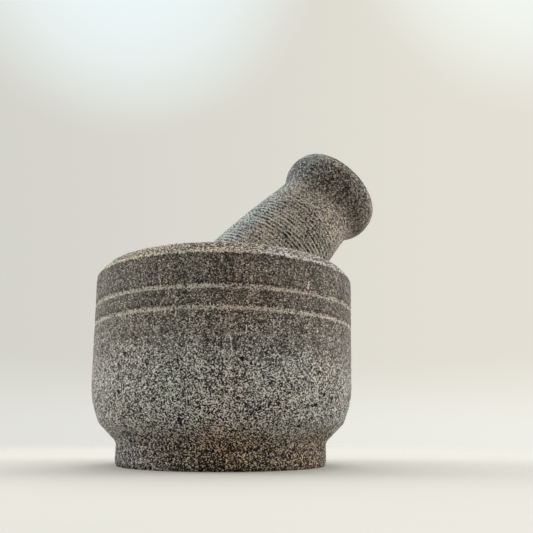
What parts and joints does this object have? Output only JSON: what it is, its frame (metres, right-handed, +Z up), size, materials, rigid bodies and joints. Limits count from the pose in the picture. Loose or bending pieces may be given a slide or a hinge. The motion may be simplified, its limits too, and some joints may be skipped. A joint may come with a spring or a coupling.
{
  "type": "mortar and pestle",
  "caption": "Turned granite mortar on a plain round foot, with a waisted pestle leaning in its bowl and lifting straight out.",
  "frame": {"origin": "centre of the mortar's flat underside", "axes": "+Z up the mortar's turning axis, +X towards the rim that carries the leaning pestle, the XZ plane is the mirror plane"},
  "size_m": [0.1194, 0.1028, 0.1348],
  "materials": {
    "mortar_granite": "honed speckled granite",
    "pestle_granite": "honed speckled granite"
  },
  "bodies": {
    "mortar": {"mortar": "mortar_granite"},
    "pestle": {"pestle": "pestle_granite"}
  },
  "joints": [
    {"name": "pestle_lift", "type": "slide", "parent": "mortar", "child": "pestle", "axis": [0, 0, 1], "range_m": [0, 0.08]}
  ]
}
